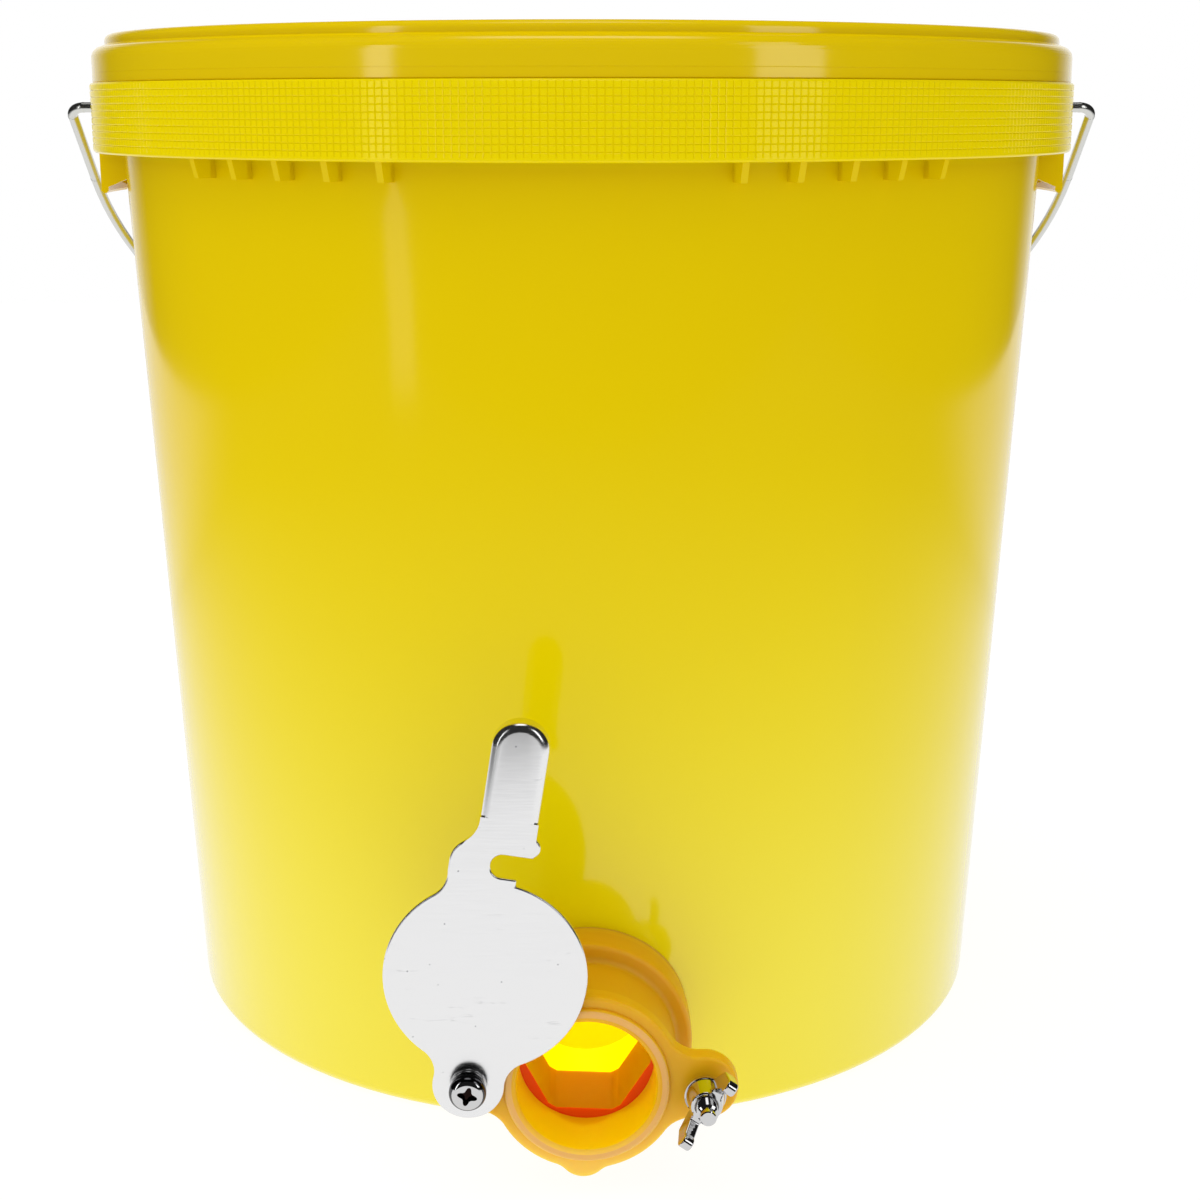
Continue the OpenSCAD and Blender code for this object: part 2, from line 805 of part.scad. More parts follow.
module pivot_screw() {
    slot_w = 1.4;
    slot_l = screw_head_d * 0.55;
    slot_deep = 2.2;
    slot_turn = 20;
    dome = 1.6;
    head_r = screw_head_d / 2;
    shank_end = flange_back - pivot_nut_t - 2;
    color("silver")
        at_pivot(0)
            difference() {
                union() {
                    translate([0, 0, shank_end])
                        cylinder(r = screw_r, h = head_foot - shank_end + 1);
                    translate([0, 0, head_foot])
                        rotate_extrude()
                            polygon(concat([[0, 0], [head_r, 0]],
                                arc([head_r - dome, screw_head_h - 1 - dome], dome, 0, 60, 5),
                                [[head_r * 0.45, screw_head_h - 0.2], [0, screw_head_h]]));
                }
                for (turn = [slot_turn, slot_turn + 90])
                    translate([0, 0, head_top - slot_deep])
                        rotate([0, 0, turn])
                            translate([-slot_l / 2, -slot_w / 2, 0])
                                cube([slot_l, slot_w, slot_deep + 1]);
            }
}

module pivot_washer() {
    color("silver")
        at_pivot(washer_foot)
            ring(screw_head_d / 2 - 0.2, screw_r + seat_gap, flat_washer_t);
}

// A split ring, whose gap faces up
module pivot_spring_washer() {
    washer_in = screw_r + seat_gap;
    washer_out = screw_head_d / 2 - 0.6;
    color("silver")
        at_pivot(spring_foot)
            rotate([0, 0, 90 + split_angle / 2])
                rotate_extrude(angle = 360 - split_angle)
                    translate([washer_in, 0])
                        square([washer_out - washer_in, spring_washer_t]);
}

module pivot_nut() {
    color("silver")
        at_pivot(flange_back - pivot_nut_t)
            difference() {
                intersection() {
                    hexagon(pivot_nut_af, pivot_nut_t);
                    rounded_disc(pivot_nut_af / 2 / cos(30) - rest_gap, pivot_nut_t, fine_edge);
                }
                translate([0, 0, -1])
                    cylinder(r = screw_r + seat_gap, h = pivot_nut_t + 2);
            }
}

// Clamp

module at_clamp(z) {
    gate_frame()
        translate([lug_x, 0, z])
            children();
}

module clamp_bolt() {
    head_back = flange_back + bolt_head_sunk - bolt_head_t;
    color("silver")
        at_clamp(0) {
            translate([0, 0, head_back])
                hexagon(bolt_head_af, bolt_head_t);
            translate([0, 0, head_back + 1])
                cylinder(r = bolt_r, h = bolt_tip - edge - head_back - 1);
            translate([0, 0, bolt_tip - edge])
                cylinder(r1 = bolt_r, r2 = bolt_r - edge, h = edge);
        }
}

module clamp_washer() {
    color("silver")
        at_clamp(wing_washer_foot)
            ring(hub_d / 2 + 0.3, bolt_r + 0.2, wing_washer_t);
}

// One wing in outline: across from the nut's axis, and up from the foot of the hub
module wing_outline() {
    tip = wing_span / 2;
    tip_r = 2;
    root = bolt_r + 1;
    hub_r = hub_d / 2;
    polygon([[root, edge], [hub_r + edge, edge], [tip - tip_r / 2, wing_h / 3],
        [tip, wing_h - tip_r], [tip - tip_r, wing_h], [hub_r, hub_h], [root, hub_h]]);
    translate([tip - tip_r, wing_h - tip_r])
        circle(tip_r, $fn = 32);
}

module wing_nut() {
    color("silver")
        at_clamp(hub_foot)
            difference() {
                union() {
                    cylinder(r1 = hub_d / 2, r2 = hub_front_d / 2, h = hub_h);
                    for (side = [0, 180])
                        rotate([0, 0, wing_angle + gate_turn + side])
                            rotate([90, 0, 0])
                                translate([0, 0, -wing_t / 2])
                                    linear_extrude(wing_t)
                                        wing_outline();
                }
                translate([0, 0, -1])
                    cylinder(r = bolt_r + run_gap, h = wing_h + 2);
            }
}

bucket();
lid();
lid_seal();
bail_wire();
bail_grip();
gate_body();
gate_outer_gasket();
gate_inner_gasket();
gate_nut();
gate_plate();
pivot_screw();
pivot_spring_washer();
pivot_washer();
pivot_nut();
clamp_bolt();
clamp_washer();
wing_nut();
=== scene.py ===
# %% [markdown]
# # A honey bucket with a gate
#
# The real object is a 20 litre yellow bucket with a press-on lid, a wire handle and, low on its
# front, a honey gate: an amber nylon spout that a mirror-bright steel plate swings across. The
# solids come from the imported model, so their sizes are never changed here. This lesson dresses
# them: rounded edges where light catches them, a knurled band, a thread, and one finish for each
# material.

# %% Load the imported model
import json

import bmesh
import bpy
from math import cos, hypot, pi, radians, sin
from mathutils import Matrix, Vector


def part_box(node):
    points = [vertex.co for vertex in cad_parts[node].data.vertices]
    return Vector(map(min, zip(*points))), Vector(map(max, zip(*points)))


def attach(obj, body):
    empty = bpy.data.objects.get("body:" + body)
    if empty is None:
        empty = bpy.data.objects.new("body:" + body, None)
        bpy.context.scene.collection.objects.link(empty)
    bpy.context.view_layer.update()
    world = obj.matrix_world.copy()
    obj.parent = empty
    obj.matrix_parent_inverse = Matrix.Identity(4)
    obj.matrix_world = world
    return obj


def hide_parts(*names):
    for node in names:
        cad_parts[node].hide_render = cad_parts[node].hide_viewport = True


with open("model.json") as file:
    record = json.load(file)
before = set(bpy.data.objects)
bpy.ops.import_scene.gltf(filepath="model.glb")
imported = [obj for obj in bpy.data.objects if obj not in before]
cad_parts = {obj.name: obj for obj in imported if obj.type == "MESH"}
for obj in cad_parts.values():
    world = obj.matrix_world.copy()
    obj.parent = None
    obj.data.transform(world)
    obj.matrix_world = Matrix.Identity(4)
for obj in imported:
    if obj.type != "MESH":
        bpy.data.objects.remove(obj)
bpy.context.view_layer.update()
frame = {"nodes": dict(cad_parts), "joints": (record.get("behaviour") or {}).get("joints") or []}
scene = bpy.context.scene
nodes = frame["nodes"]
print("pieces of the packed model:", len(nodes))

# %% [markdown]
# ## Two small helpers
#
# Colours are picked as sRGB hex values, as a paint program shows them, but Blender's nodes work with
# linear light, so one function converts them. Node trees are long to write by hand, so a second
# function adds one node, sets its properties, and fills or links its inputs. Blender works in
# metres and a workshop in millimetres, so sizes are written in millimetres and multiplied.

# %% Helpers for colours and nodes
MM = 0.001


def paint(hex_colour):
    """An sRGB hex colour as linear RGBA."""
    parts = [int(hex_colour[i : i + 2], 16) / 255 for i in (1, 3, 5)]
    return (*[p / 12.92 if p <= 0.04045 else ((p + 0.055) / 1.055) ** 2.4 for p in parts], 1.0)


def add(tree, kind, settings=None, inputs=None):
    """One node: settings are its properties, inputs are values or other nodes' sockets."""
    node = tree.nodes.new(kind)
    for name, value in (settings or {}).items():
        setattr(node, name, value)
    for name, value in (inputs or {}).items():
        if isinstance(value, bpy.types.NodeSocket):
            tree.links.new(value, node.inputs[name])
        else:
            node.inputs[name].default_value = value
    return node


print("the bucket's yellow in linear light:", [round(v, 3) for v in paint("#E8CA00")])

# %% [markdown]
# ## Camera
#
# The photograph was taken from 0.68 m in front of the bucket, at about the height of its band,
# looking down by some 14 degrees. The lens and the place could be found by trial, but they were
# worked out from the ellipses of the rim, the band and the foot, so the perspective matches.

# %% Camera
SENSOR_MM, LENS_MM = 36, 57.59
CAMERA_AT_MM = (-1.94, -677.9, 306.4)
CAMERA_TURN = (75.53, 0, -0.658)

camera_data = bpy.data.cameras.new("front_camera")
camera_data.sensor_width = SENSOR_MM
camera_data.lens = LENS_MM
camera = bpy.data.objects.new("front_camera", camera_data)
camera.location = [v * MM for v in CAMERA_AT_MM]
camera.rotation_euler = [radians(v) for v in CAMERA_TURN]
scene.collection.objects.link(camera)
scene.camera = camera
print("camera at", [round(v, 3) for v in camera.location])

# %% [markdown]
# ## The room
#
# Everything here is glossy, so the room matters as much as the lamps. White paper hangs behind the
# bucket, a bright panel hangs straight above it, and the room in front is dark. Each of these could
# be a real sheet with a lamp on it. Here the world's colour depends on the direction, which is
# quicker and leaves no sheet in the way of other views. Only mirrored rays see paper and panel: soft
# light comes evenly from everywhere, a little less from the right, and the camera sees plain white.

# %% World
SMOOTH, NUMBERS = {"interpolation_type": "SMOOTHSTEP"}, {"data_type": "FLOAT"}
# A Mix node has sockets for every kind of value, so the two for numbers go by their position.
LOW, HIGH = 2, 3
# Parts of a direction that point at the paper and at the panel: 1 is straight back or straight up.
PAPER_Y, PAPER_Z = (0.72, 0.97), (0.75, 0.35)
PANEL_Z, PANEL_LIGHT = (0.955, 0.98), 1.6
DARK_ROOM = 0.012
AMBIENT_LEFT, AMBIENT_RIGHT = 0.875, 0.705

world = bpy.data.worlds.new("studio")
scene.world = world
world.use_nodes = True
tree = world.node_tree
tree.nodes.clear()
direction = add(tree, "ShaderNodeTexCoord").outputs["Generated"]
aim = add(tree, "ShaderNodeSeparateXYZ", inputs={0: direction}).outputs
spans = {"From Min": PAPER_Y[0], "From Max": PAPER_Y[1]}
behind = add(tree, "ShaderNodeMapRange", SMOOTH, {"Value": aim["Y"], **spans})
spans = {"From Min": PAPER_Z[0], "From Max": PAPER_Z[1]}
level = add(tree, "ShaderNodeMapRange", SMOOTH, {"Value": aim["Z"], **spans})
spans = {"From Min": PANEL_Z[0], "From Max": PANEL_Z[1], "To Max": PANEL_LIGHT}
panel = add(tree, "ShaderNodeMapRange", inputs={"Value": aim["Z"], **spans})
spans = {"From Min": -1.0, "From Max": 1.0, "To Min": AMBIENT_LEFT, "To Max": AMBIENT_RIGHT}
ambient = add(tree, "ShaderNodeMapRange", inputs={"Value": aim["X"], **spans})
room = behind.outputs[0]
for operation, other in (
    ("MULTIPLY", level.outputs[0]),
    ("MAXIMUM", DARK_ROOM),
    ("MAXIMUM", panel.outputs[0]),
):
    room = add(tree, "ShaderNodeMath", {"operation": operation}, {0: room, 1: other}).outputs[0]
rays = add(tree, "ShaderNodeLightPath").outputs
mirrored = add(
    tree,
    "ShaderNodeMath",
    {"operation": "MAXIMUM"},
    {0: rays["Is Glossy Ray"], 1: rays["Is Transmission Ray"]},
)
around = {0: mirrored.outputs[0], LOW: ambient.outputs[0], HIGH: room}
around = add(tree, "ShaderNodeMix", NUMBERS, around)
seen = {0: rays["Is Camera Ray"], LOW: around.outputs[0], HIGH: 1.0}
seen = add(tree, "ShaderNodeMix", NUMBERS, seen)
white = {"Color": (1, 1, 1, 1), "Strength": seen.outputs[0]}
white = add(tree, "ShaderNodeBackground", inputs=white)
add(tree, "ShaderNodeOutputWorld", inputs={"Surface": white.outputs[0]})
print("world nodes:", len(tree.nodes))

# %% [markdown]
# ## The table
#
# The bucket stands on a white table, and its wall mirrors that table: pale near the foot, and
# deeper yellow where the table ends and the dark room begins. A plain white plane lit by the lamps
# would be grey in the picture. So most of its light is its own, and its strength depends on who
# looks: white for the camera, fading with distance for mirrors, and even for soft light.

# %% Table
TABLE_X, TABLE_FRONT, TABLE_BACK = 1.2, -0.95, 2.4
TABLE_PAINT = (0.95, 0.95, 0.95, 1)
FADE_FROM, FADE_TO, FADED = 0.95, 0.5, 0.02
BACK_FROM, BACK_TO = 0.0, 0.5
CAMERA_WHITE, SOFT_LIGHT, OWN_LIGHT = 1.06, 1.25, 0.85


def plain_object(name, verts, faces):
    """A mesh object at the origin, made from corners in metres."""
    mesh = bpy.data.meshes.new(name)
    mesh.from_pydata(verts, [], faces)
    mesh.update()
    made = bpy.data.objects.new(name, mesh)
    scene.collection.objects.link(made)
    return made


corners = [
    (-TABLE_X, TABLE_FRONT, 0),
    (TABLE_X, TABLE_FRONT, 0),
    (TABLE_X, TABLE_BACK, 0),
    (-TABLE_X, TABLE_BACK, 0),
]
table_top = plain_object("table_top", corners, [(0, 1, 2, 3)])
table_white = bpy.data.materials.new("white_table")
table_white.use_nodes = True
tree = table_white.node_tree
tree.nodes.clear()
rays = add(tree, "ShaderNodeLightPath").outputs
where = add(tree, "ShaderNodeTexCoord").outputs["Object"]
spot = add(tree, "ShaderNodeSeparateXYZ", inputs={0: where}).outputs
away = add(tree, "ShaderNodeVectorMath", {"operation": "LENGTH"}, {0: where}).outputs["Value"]
spans = {"From Min": FADE_FROM, "From Max": FADE_TO, "To Min": FADED}
near = add(tree, "ShaderNodeMapRange", SMOOTH, {"Value": away, **spans})
spans = {"From Min": BACK_FROM, "From Max": BACK_TO}
back = add(tree, "ShaderNodeMapRange", SMOOTH, {"Value": spot["Y"], **spans})
viewed = {0: rays["Is Camera Ray"], 1: CAMERA_WHITE}
viewed = add(tree, "ShaderNodeMath", {"operation": "MULTIPLY"}, viewed)
bright = near.outputs[0]
for other in (back, viewed):
    most = {0: bright, 1: other.outputs[0]}
    bright = add(tree, "ShaderNodeMath", {"operation": "MAXIMUM"}, most).outputs[0]
bright = {0: rays["Is Diffuse Ray"], LOW: bright, HIGH: SOFT_LIGHT}
bright = add(tree, "ShaderNodeMix", NUMBERS, bright)
matt = add(tree, "ShaderNodeBsdfDiffuse", inputs={"Color": TABLE_PAINT})
lit = add(tree, "ShaderNodeEmission", inputs={"Strength": bright.outputs[0]})
both = {0: OWN_LIGHT, 1: matt.outputs[0], 2: lit.outputs[0]}
both = add(tree, "ShaderNodeMixShader", inputs=both)
add(tree, "ShaderNodeOutputMaterial", inputs={"Surface": both.outputs[0]})
table_top.data.materials.append(table_white)
print("table:", [round(v, 2) for v in table_top.dimensions])

# %% [markdown]
# ## Lamps
#
# A large soft lamp overhead gives the shadows. Two tall strips beside the camera only draw the
# upright highlights on the wall and the band, so they give no soft light. Plastic this thin lets
# light through, and the inside of the real bucket glows: behind the hexagon the photograph shows
# bright yellow. A wall that lets light through would be slow to render, so two small lamps inside
# do its work, one in the middle and one behind the gate.

# %% Lamps
STRIP_AWAY, STRIP_TALL = 1.15, 0.9
GLOW = "#F8FCA0"


def soft_lamp(name, place, aim, size, watts):
    """A rectangular soft lamp that faces a point."""
    data = bpy.data.lights.new(name, "AREA")
    data.shape = "RECTANGLE"
    data.size, data.size_y = size
    data.energy = watts
    lamp = bpy.data.objects.new(name, data)
    lamp.location = place
    lamp.rotation_euler = (Vector(aim) - Vector(place)).to_track_quat("-Z", "Y").to_euler()
    scene.collection.objects.link(lamp)
    return lamp


overhead = soft_lamp("overhead", (-0.3, -0.3, 1.6), (0, 0, 0.1), (1.4, 1.2), 8)
overhead.visible_glossy = False
for name, angle, height, wide, watts in (
    ("strip_left", -41.5, 0.45, 0.12, 0.75),
    ("strip_right", 42.0, 0.67, 0.3, 1.6),
):
    turn = radians(angle)
    place = (STRIP_AWAY * sin(turn), -STRIP_AWAY * cos(turn), height)
    strip = soft_lamp(name, place, (0, 0, height), (wide, STRIP_TALL), watts)
    strip.visible_diffuse = False
for name, place, watts, size in (
    ("inside", (0, 0.02, 0.17), 0.4, 0.05),
    ("behind_gate", (0, -0.085, 0.075), 0.085, 0.015),
):
    bulb = bpy.data.lights.new(name, "POINT")
    bulb.energy = watts
    bulb.shadow_soft_size = size
    bulb.color = paint(GLOW)[:3]
    lamp = bpy.data.objects.new(name, bulb)
    lamp.location = place
    lamp.visible_camera = False
    lamp.visible_glossy = False
    scene.collection.objects.link(lamp)

# %% [markdown]
# ## Finishes
#
# Each finish starts from the real material. A pattern is scaled by its real size: a noise whose
# lumps are 3 mm wide has a scale of 1 / 0.003 in metres. A value that is the same all over is set on
# the shader itself, because exported models keep it only there. Every finish begins with the same
# three nodes, so one function makes them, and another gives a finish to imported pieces. A finish may
# change from one part of a moulding to the next, so a third one marks a zone by limits on sizes.

# %% What the finishes share
COLOURS = {"data_type": "RGBA"}
# The sockets of a Mix node for two colours and their mixture, by position.
FIRST, SECOND, MIXED = 6, 7, 2


def new_finish(name):
    """An empty material with its shader, its output and its coordinates."""
    finish = bpy.data.materials.new(name)
    finish.use_nodes = True
    tree = finish.node_tree
    tree.nodes.clear()
    where = add(tree, "ShaderNodeTexCoord").outputs["Object"]
    shader = add(tree, "ShaderNodeBsdfPrincipled")
    add(tree, "ShaderNodeOutputMaterial", inputs={"Surface": shader.outputs[0]})
    return finish, tree, where, shader


def dress(finish, *names):
    """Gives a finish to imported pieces."""
    for name in names:
        nodes[name].data.materials.clear()
        nodes[name].data.materials.append(finish)


def zone(tree, limits):
    """A mask that is one where every limit holds: a value, a rule and a size in millimetres."""
    mask = 1.0
    for value, rule, size in limits:
        held = add(tree, "ShaderNodeMath", {"operation": rule}, {0: value, 1: size * MM})
        both = {0: mask, 1: held.outputs[0]}
        mask = add(tree, "ShaderNodeMath", {"operation": "MULTIPLY"}, both).outputs[0]
    return mask


print("pieces to be dressed:", sorted(nodes))

# %% [markdown]
# ### Yellow polypropylene
#
# Bucket and lid are injection-moulded polypropylene: glossy, a little see-through, with a faint
# ripple from the mould. A single yellow would look like paint, so the tone drifts over hand-wide
# clouds. The wall is painted lighter towards the foot, for the light the table throws up, and the
# band is painted lighter against the shade between its pads. Handling has buffed the lower wall,
# which mirrors the table more than the upper wall mirrors the room. The thin ribs under the band
# get a painted glow, painted light that lifts the band's shade off them.

# %% The thin ribs under the band
RIB_R, RIB_Z, EAR_Y = 155.2, (262.0, 291.4), 40.0
# The ribs' colour and glow together are painted light that lifts the band's shade off them.
RIB_COLOUR, RIB_PAINTED_GLOW = "#B8A000", "#8C7800"


def rib_zone(tree, where, spot):
    """A mask of the ribs: outside the wall, under the band and away from the ears."""
    flat = add(tree, "ShaderNodeVectorMath", {"operation": "MULTIPLY"}, {0: where, 1: (1, 1, 0)})
    ring = add(tree, "ShaderNodeVectorMath", {"operation": "LENGTH"}, {0: flat.outputs[0]})
    sides = add(tree, "ShaderNodeMath", {"operation": "ABSOLUTE"}, {0: spot["Y"]})
    limits = [
        (ring.outputs["Value"], "GREATER_THAN", RIB_R),
        (spot["Z"], "GREATER_THAN", RIB_Z[0]),
        (spot["Z"], "LESS_THAN", RIB_Z[1]),
        (sides.outputs[0], "GREATER_THAN", EAR_Y),
    ]
    return zone(tree, limits)


print("ribs between", RIB_Z, "mm up")

# %% Yellow polypropylene
CLOUD_MM = 90
FOOT_PAINTED_LIGHT_Z, BAND_PAINTED_LIGHT_Z, BUFFED_Z = (260, 20), (289, 292), (175, 15)
BUFFED_SHINE, BUFFED_COAT = 0.6, 0.65


def moulded_polypropylene(name, main, deep, foot, band, shine, ripple_mm):
    """The yellow of a moulding: its clouds, and painted light on its foot, its band and its ribs."""
    finish, tree, where, shader = new_finish(name)
    spot = add(tree, "ShaderNodeSeparateXYZ", inputs={0: where}).outputs
    ribs = rib_zone(tree, where, spot)
    cloud ={"Vector": where, "Scale": 1 / (CLOUD_MM * MM), "Detail": 2.0}
    cloud = add(tree, "ShaderNodeTexNoise", inputs=cloud).outputs["Fac"]
    # Painted light: the wall grows lighter towards the foot, for the light the table throws up.
    spans = {"From Min": FOOT_PAINTED_LIGHT_Z[0] * MM, "From Max": FOOT_PAINTED_LIGHT_Z[1] * MM}
    paler = add(tree, "ShaderNodeMapRange", SMOOTH, {"Value": spot["Z"], **spans})
    # Painted light: the band is lighter, against the shade between its pads.
    spans = {"From Min": BAND_PAINTED_LIGHT_Z[0] * MM, "From Max": BAND_PAINTED_LIGHT_Z[1] * MM}
    upper = add(tree, "ShaderNodeMapRange", inputs={"Value": spot["Z"], **spans})
    tone = paint(main)
    for mask, colour in (
        (cloud, deep),
        (paler.outputs[0], foot),
        (upper.outputs[0], band),
        (ribs, RIB_COLOUR),
    ):
        pair = {0: mask, FIRST: tone, SECOND: paint(colour)}
        tone = add(tree, "ShaderNodeMix", COLOURS, pair).outputs[MIXED]
    tree.links.new(tone, shader.inputs["Base Color"])
    # Painted light: the ribs glow, which lifts the band's shade off them.
    pair = {0: ribs, FIRST: (0, 0, 0, 1), SECOND: paint(RIB_PAINTED_GLOW)}
    rib_painted_glow = add(tree, "ShaderNodeMix", COLOURS, pair).outputs[MIXED]
    tree.links.new(rib_painted_glow, shader.inputs["Emission Color"])
    shader.inputs["Emission Strength"].default_value = 1.0
    spans = {"From Min": BUFFED_Z[0] * MM, "From Max": BUFFED_Z[1] * MM}
    buffed = add(tree, "ShaderNodeMapRange", SMOOTH, {"Value": spot["Z"], **spans}).outputs[0]
    shader.inputs["Specular IOR Level"].default_value = shine
    for socket, value, least, most in (
        ("Specular IOR Level", buffed, shine, BUFFED_SHINE),
        ("Coat Weight", buffed, 0.0, BUFFED_COAT),
        ("Roughness", cloud, 0.09, 0.13),
    ):
        spans = {"Value": value, "To Min": least, "To Max": most}
        spread = add(tree, "ShaderNodeMapRange", inputs=spans)
        tree.links.new(spread.outputs[0], shader.inputs[socket])
    ripple = {"Vector": where, "Scale": 1 / (ripple_mm * MM), "Detail": 1.0}
    ripple = add(tree, "ShaderNodeTexNoise", inputs=ripple)
    bump = {"Height": ripple.outputs["Fac"], "Strength": 0.03, "Distance": 0.3 * MM}
    bump = add(tree, "ShaderNodeBump", inputs=bump)
    tree.links.new(bump.outputs[0], shader.inputs["Normal"])
    shader.inputs["IOR"].default_value = 1.49
    shader.inputs["Coat Roughness"].default_value = 0.05
    return finish


bucket_finish = moulded_polypropylene(
    "yellow_polypropylene", "#E8CA00", "#E4C300", "#F3E200", "#ECD500", 0.18, 14
)
lid_finish = moulded_polypropylene(
    "yellow_polypropylene_lid", "#E2C200", "#DCB800", "#E2C200", "#E2C200", 0.6, 18
)
dress(bucket_finish, "bucket")
dress(lid_finish, "lid")
print("bucket and lid:", bucket_finish.name, lid_finish.name)

# %% [markdown]
# ### Amber nylon
#
# The gate is moulded nylon: satin, honey-coloured and translucent, so its thin walls glow orange.
# The lip's face is paler. Inside, the light that comes through the hexagon changes its colour from
# step to step, and subsurface light alone was too dull for it. So the inner walls, which are found
# by their distance from the outlet's axis and from the bucket's, get painted colours and a painted
# glow that stand in for that light. The outlet's axis lies halfway between the gate's two
# fasteners, which stand where the imported model's joints are.

# %% Zones of the gate
joint_at = {j["name"]: [v / MM for v in j["pos_m"]] for j in frame["joints"] if "pos_m" in j}
SCREW_X, _, SCREW_Z = joint_at["gate_swing"]
BOLT_X, _, BOLT_Z = joint_at["wing_turn"]
GATE_Z = (SCREW_Z + BOLT_Z) / 2
# Each zone: its nearest and farthest distance from the bucket's axis, then from the outlet's axis.
ZONES = {
    "barrel": (148, 177, 20.7, 45),
    "lip": (183.2, 186, 21.5, 23.4),
    "bore": (165.9, 184, 0, 20.1),
    "hexagon": (143.3, 165.5, 0, 20.1),
    "step": (165.4, 166.0, 0, 20.1),
    "spigot": (120, 143.3, 0, 20.7),
}

gate_finish, tree, where, shader = new_finish("amber_nylon")
spot = add(tree, "ShaderNodeSeparateXYZ", inputs={0: where}).outputs
out = add(tree, "ShaderNodeMath", {"operation": "MULTIPLY"}, {0: spot["Y"], 1: -1.0}).outputs[0]
up = add(tree, "ShaderNodeMath", {"operation": "SUBTRACT"}, {0: spot["Z"], 1: GATE_Z * MM})
flat = add(tree, "ShaderNodeCombineXYZ", inputs={0: spot["X"], 1: up.outputs[0]})
ring = add(tree, "ShaderNodeVectorMath", {"operation": "LENGTH"}, {0: flat.outputs[0]})
ring = ring.outputs["Value"]
masks = {}
for name, (near, far, small, large) in ZONES.items():
    limits = [
        (out, "GREATER_THAN", near),
        (out, "LESS_THAN", far),
        (ring, "GREATER_THAN", small),
        (ring, "LESS_THAN", large),
    ]
    masks[name] = zone(tree, limits)
print(f"outlet {GATE_Z:.1f} mm up, zones:", list(masks))

# %% [markdown]
# ### The gate's colours
#
# Two more masks join the zones: a cloudy noise, because nylon never dyes evenly, and a pale fade
# below, painted light for the table shining through. The colours could be mixed by one ramp, but
# each mask simply paints over what came before. A fine grain in the bump makes the surface satin.

# %% Amber nylon
NYLON_MM, GRAIN_MM = 20, 1.2
GATE_TABLE_LIGHT_Z = (34, 6)

cloud = {"Vector": where, "Scale": 1 / (NYLON_MM * MM), "Detail": 3.0}
masks["cloud"] = add(tree, "ShaderNodeTexNoise", inputs=cloud).outputs["Fac"]
spans = {"From Min": GATE_TABLE_LIGHT_Z[0] * MM, "From Max": GATE_TABLE_LIGHT_Z[1] * MM}
below = add(tree, "ShaderNodeMapRange", SMOOTH, {"Value": spot["Z"], **spans})
masks["below"] = below.outputs[0]
tone = paint("#E6B20A")
# The fade below and the colours of bore, hexagon, step and spigot are painted light; the lip's face is
# paler and the barrel deeper.
for name, colour in (
    ("cloud", "#DCA406"),
    ("barrel", "#DCA204"),
    ("below", "#F6CC50"),
    ("lip", "#E2B062"),
    ("bore", "#EACC00"),
    ("hexagon", "#BE7600"),
    ("step", "#D24A00"),
    ("spigot", "#FFD400"),
):
    pair = {0: masks[name], FIRST: tone, SECOND: paint(colour)}
    tone = add(tree, "ShaderNodeMix", COLOURS, pair).outputs[MIXED]
tree.links.new(tone, shader.inputs["Base Color"])
# Painted light: bore, hexagon, step and spigot glow, standing in for the light through the nylon.
glow = (0, 0, 0, 1)
for name, colour in (
    ("bore", "#5C4200"),
    ("hexagon", "#4C3000"),
    ("step", "#731600"),
    ("spigot", "#B4AE00"),
):
    pair = {0: masks[name], FIRST: glow, SECOND: paint(colour)}
    glow = add(tree, "ShaderNodeMix", COLOURS, pair).outputs[MIXED]
tree.links.new(glow, shader.inputs["Emission Color"])
grain = {"Vector": where, "Scale": 1 / (GRAIN_MM * MM), "Detail": 2.0}
grain = add(tree, "ShaderNodeTexNoise", inputs=grain)
bump = {"Height": grain.outputs["Fac"], "Strength": 0.08, "Distance": 0.1 * MM}
bump = add(tree, "ShaderNodeBump", inputs=bump)
tree.links.new(bump.outputs[0], shader.inputs["Normal"])
for socket, value in {
    "Emission Strength": 1.0,
    "Roughness": 0.36,
    "Specular IOR Level": 0.3,
    "IOR": 1.53,
    "Subsurface Weight": 0.6,
    "Subsurface Radius": (1.0, 0.7, 0.05),
    "Subsurface Scale": 5 * MM,
}.items():
    shader.inputs[socket].default_value = value
dress(gate_finish, "gate_nut")
print("gate:", gate_finish.name, "with", len(tree.nodes), "nodes")

# %% [markdown]
# ### Polished stainless sheet
#
# The plate is sheet steel buffed to a mirror, then handled. A perfect mirror would look like
# plastic film, so there are hair-fine scratches along the sheet, which only change its
# roughness, small dark specks, and faint smears where it was wiped. The scratches are drawn 0.4 mm
# wide, coarser than real ones, because finer ones wouldn't show.

# %% Polished stainless sheet
HAIR_MM, SPECK_MM, SMEAR_MM = 0.4, 5, 4
HAIR_TURN, HAIR_STRETCH = radians(80), (0.04, 1.0, 1.0)
SMEAR_STRETCH = (0.35, 1.0, 1.6)

plate_finish, tree, where, shader = new_finish("polished_stainless_sheet")
along = {"Vector": where, "Rotation": (0, HAIR_TURN, 0), "Scale": HAIR_STRETCH}
along = add(tree, "ShaderNodeMapping", inputs=along)
hairs = {"Vector": along.outputs[0], "Scale": 1 / (HAIR_MM * MM), "Detail": 2.0}
hairs = add(tree, "ShaderNodeTexNoise", inputs=hairs)
specks = {"Vector": where, "Scale": 1 / (SPECK_MM * MM)}
specks = add(tree, "ShaderNodeTexVoronoi", inputs=specks)
spans = {"Value": specks.outputs["Distance"], "From Min": 0.065, "From Max": 0.03}
spotted = add(tree, "ShaderNodeMapRange", inputs=spans)
wiped = add(tree, "ShaderNodeMapping", inputs={"Vector": where, "Scale": SMEAR_STRETCH})
smears = {"Scale": 1 / (SMEAR_MM * MM), "Detail": 6.0, "Roughness": 0.75}
